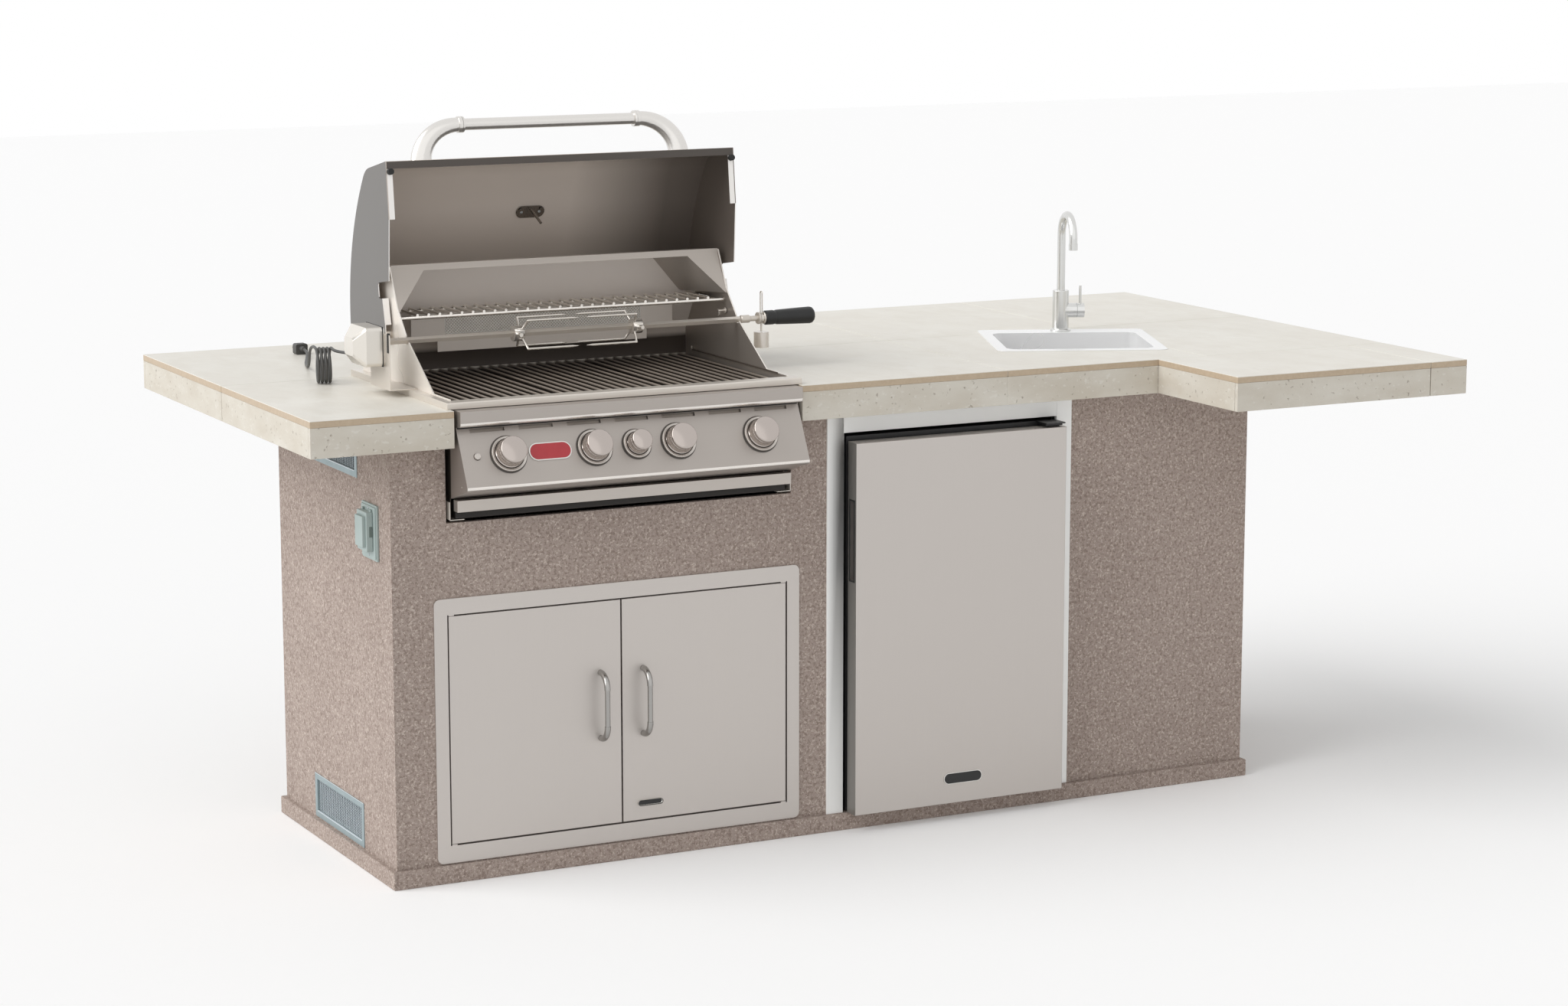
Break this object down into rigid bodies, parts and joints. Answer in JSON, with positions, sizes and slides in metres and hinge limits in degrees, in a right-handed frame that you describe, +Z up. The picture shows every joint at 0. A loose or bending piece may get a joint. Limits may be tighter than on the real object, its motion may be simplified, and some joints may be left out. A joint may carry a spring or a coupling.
{
  "type": "outdoor kitchen island",
  "caption": "L-shaped stucco and tile outdoor kitchen island with a built-in gas grill and rotisserie, bar sink and faucet, double access doors and an undercounter fridge.",
  "frame": {"origin": "middle of the counter's plan, on the floor the plinth stands on", "axes": "+X to the right along the front as the cook sees it, +Y from the front to the back, +Z up"},
  "size_m": [2.591, 1.413, 1.5525],
  "materials": {
    "concrete": "cast grey slab",
    "stucco": "speckled sand-finish stucco",
    "galvanised": "dull zinc grey",
    "cement_board": "raw cement board",
    "tile": "matt off-white tile",
    "edge_tile": "pitted travertine-look edge tile",
    "stainless": "brushed stainless steel",
    "wire": "polished stainless rod",
    "black_plastic": "black moulded plastic",
    "black_rubber": "black rubber",
    "cord": "dark grey cord jacket",
    "white_plastic": "white pipe plastic",
    "white_paint": "white enamel",
    "black_paint": "black enamel",
    "shelf": "clear grey shelf plastic",
    "grey_plastic": "weathered grey plastic"
  },
  "bodies": {
    "island": {"plinth": "concrete", "front_wall": "stucco", "left_wall": "stucco", "right_wall": "stucco", "back_wall": "stucco", "stud_frame": "galvanised", "counter_core": "cement_board", "counter_tiles": "tile", "apron_tiles": "edge_tile", "grill_trim": "stainless", "firebox": "stainless", "side_plates": "stainless", "rear_hood": "stainless", "rear_burner": "stainless", "warming_rack": "wire", "cooking_grates": "wire", "heat_baffles": "stainless", "main_burners": "stainless", "gas_manifold": "galvanised", "control_panel": "stainless", "knob_bezels": "stainless", "motor_bracket": "stainless", "motor_housing": "stainless", "motor_cord": "cord", "cord_coil": "cord", "plug_cord": "cord", "cord_plug": "cord", "sink_bowl": "stainless", "sink_drain": "white_plastic", "faucet_body": "stainless", "access_frame": "stainless", "fridge_surround": "white_paint", "fridge_cabinet": "black_paint", "fridge_shelves": "shelf", "outlet_plate": "grey_plastic", "side_vents": "galvanised"},
    "lid": {"lid_shell": "stainless", "lid_handle": "stainless", "lid_bumpers": "black_rubber", "lid_thermometer": "stainless"},
    "igniter": {"igniter_button": "black_plastic"},
    "tray": {"drip_tray": "stainless"},
    "spit": {"spit_rod": "wire", "spit_forks": "wire", "spit_grip": "black_plastic", "counterweight": "wire"},
    "door_left": {"left_door": "stainless", "left_door_handle": "wire"},
    "door_right": {"right_door": "stainless", "right_door_handle": "wire"},
    "door_fridge": {"fridge_door": "stainless", "fridge_gasket": "black_rubber"},
    "spout": {"faucet_spout": "stainless"},
    "lever": {"faucet_lever": "stainless"},
    "cover": {"outlet_cover": "grey_plastic"},
    "dial_1": {"knob_1": "stainless"},
    "dial_2": {"knob_2": "stainless"},
    "dial_3": {"knob_3": "stainless"},
    "dial_4": {"knob_4": "stainless"},
    "dial_5": {"knob_5": "stainless"}
  },
  "joints": [
    {"name": "lid_hinge", "type": "hinge", "parent": "island", "child": "lid", "pos_m": [-0.5955, -0.0168, 1.1077], "axis": [1, 0, 0], "range_deg": [0, 98.8]},
    {"name": "knob_1_turn", "type": "hinge", "parent": "island", "child": "dial_1", "pos_m": [-0.8805, -0.4125, 0.9005], "axis": [0, -0.8929, 0.4503], "range_deg": [0, 225]},
    {"name": "knob_2_turn", "type": "hinge", "parent": "island", "child": "dial_2", "pos_m": [-0.6905, -0.4125, 0.9005], "axis": [0, -0.8929, 0.4503], "range_deg": [0, 225]},
    {"name": "knob_3_turn", "type": "hinge", "parent": "island", "child": "dial_3", "pos_m": [-0.5955, -0.4125, 0.9005], "axis": [0, -0.8929, 0.4503], "range_deg": [0, 225]},
    {"name": "knob_4_turn", "type": "hinge", "parent": "island", "child": "dial_4", "pos_m": [-0.5005, -0.4125, 0.9005], "axis": [0, -0.8929, 0.4503], "range_deg": [0, 225]},
    {"name": "knob_5_turn", "type": "hinge", "parent": "island", "child": "dial_5", "pos_m": [-0.3105, -0.4125, 0.9005], "axis": [0, -0.8929, 0.4503], "range_deg": [0, 225]},
    {"name": "igniter_press", "type": "slide", "parent": "island", "child": "igniter", "axis": [0, 0.8929, -0.4503], "range_m": [0, 0.003], "stiffness_N_per_m": 400},
    {"name": "tray_slide", "type": "slide", "parent": "island", "child": "tray", "axis": [0, -1, 0], "range_m": [0, 0.35]},
    {"name": "spit_turn", "type": "hinge", "parent": "island", "child": "spit", "pos_m": [-0.5955, -0.1115, 1.103], "axis": [1, 0, 0], "continuous": true},
    {"name": "left_door_hinge", "type": "hinge", "parent": "island", "child": "door_left", "pos_m": [-0.9825, -0.338, 0.32135], "axis": [0, 0, -1], "range_deg": [0, 110]},
    {"name": "right_door_hinge", "type": "hinge", "parent": "island", "child": "door_right", "pos_m": [-0.2205, -0.338, 0.32135], "axis": [0, 0, 1], "range_deg": [0, 110]},
    {"name": "fridge_door_hinge", "type": "hinge", "parent": "island", "child": "door_fridge", "pos_m": [0.4425, -0.3695, 0.45], "axis": [0, 0, 1], "range_deg": [0, 110]},
    {"name": "spout_swivel", "type": "hinge", "parent": "island", "child": "spout", "pos_m": [0.74335, 0.1164, 1.1], "axis": [0, 0, 1], "range_deg": [-110, 110]},
    {"name": "lever_turn", "type": "hinge", "parent": "island", "child": "lever", "pos_m": [0.78585, 0.09879, 1.0435], "axis": [0.9239, -0.3827, 0], "range_deg": [0, 60]},
    {"name": "cover_flip", "type": "hinge", "parent": "island", "child": "cover", "pos_m": [-1.1295, -0.23, 0.784], "axis": [0, 1, 0], "range_deg": [0, 100]}
  ]
}
